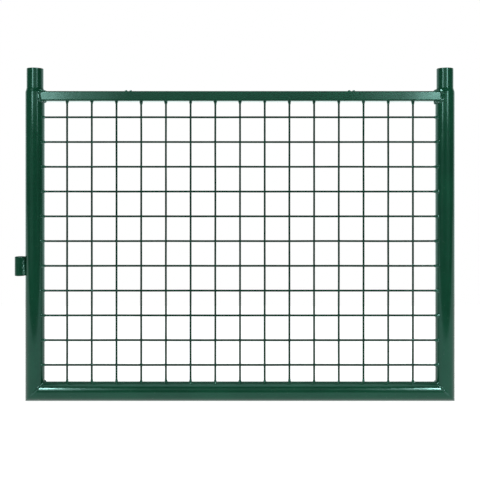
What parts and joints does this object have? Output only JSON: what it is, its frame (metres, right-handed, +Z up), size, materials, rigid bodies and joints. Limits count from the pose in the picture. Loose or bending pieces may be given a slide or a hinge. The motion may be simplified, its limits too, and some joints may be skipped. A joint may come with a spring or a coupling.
{
  "type": "livestock panel gate",
  "caption": "Rigid welded mesh panel: lower section of a pen gate with a side hinge barrel and two upright spigots for an upper section.",
  "frame": {"origin": "on the hinge axis, at the mouth of the hinge barrel's blind hole, which is the barrel's lower face", "axes": "+Z up along the hinge axis and the uprights, +X from the hinge across the panel, -Y the face that the mesh is nearer to"},
  "size_m": [0.892, 0.041, 0.674],
  "materials": {
    "coated_tube": "glossy dark green powder coat",
    "coated_wire": "glossy dark green powder coat over wire",
    "coated_weld": "glossy dark green powder coat over rippled weld beads"
  },
  "bodies": {
    "root": {"bottom_rail": "coated_tube", "coating_pips_left": "coated_weld", "coating_pips_right": "coated_weld", "hinge_barrel": "coated_tube", "hinge_weld_back": "coated_weld", "hinge_weld_front": "coated_weld", "horizontal_wire_01": "coated_wire", "horizontal_wire_02": "coated_wire", "horizontal_wire_03": "coated_wire", "horizontal_wire_04": "coated_wire", "horizontal_wire_05": "coated_wire", "horizontal_wire_06": "coated_wire", "horizontal_wire_07": "coated_wire", "horizontal_wire_08": "coated_wire", "horizontal_wire_09": "coated_wire", "horizontal_wire_10": "coated_wire", "horizontal_wire_11": "coated_wire", "left_upright": "coated_tube", "mitre_weld_left": "coated_weld", "mitre_weld_right": "coated_weld", "right_upright": "coated_tube", "top_rail": "coated_tube", "top_rail_weld_left": "coated_weld", "top_rail_weld_right": "coated_weld", "vertical_wire_01": "coated_wire", "vertical_wire_02": "coated_wire", "vertical_wire_03": "coated_wire", "vertical_wire_04": "coated_wire", "vertical_wire_05": "coated_wire", "vertical_wire_06": "coated_wire", "vertical_wire_07": "coated_wire", "vertical_wire_08": "coated_wire", "vertical_wire_09": "coated_wire", "vertical_wire_10": "coated_wire", "vertical_wire_11": "coated_wire", "vertical_wire_12": "coated_wire", "vertical_wire_13": "coated_wire", "vertical_wire_14": "coated_wire", "vertical_wire_15": "coated_wire", "wire_welds_bottom": "coated_weld", "wire_welds_left": "coated_weld", "wire_welds_right": "coated_weld", "wire_welds_top": "coated_weld", "left_spigot": "coated_tube", "right_spigot": "coated_tube"}
  },
  "joints": []
}
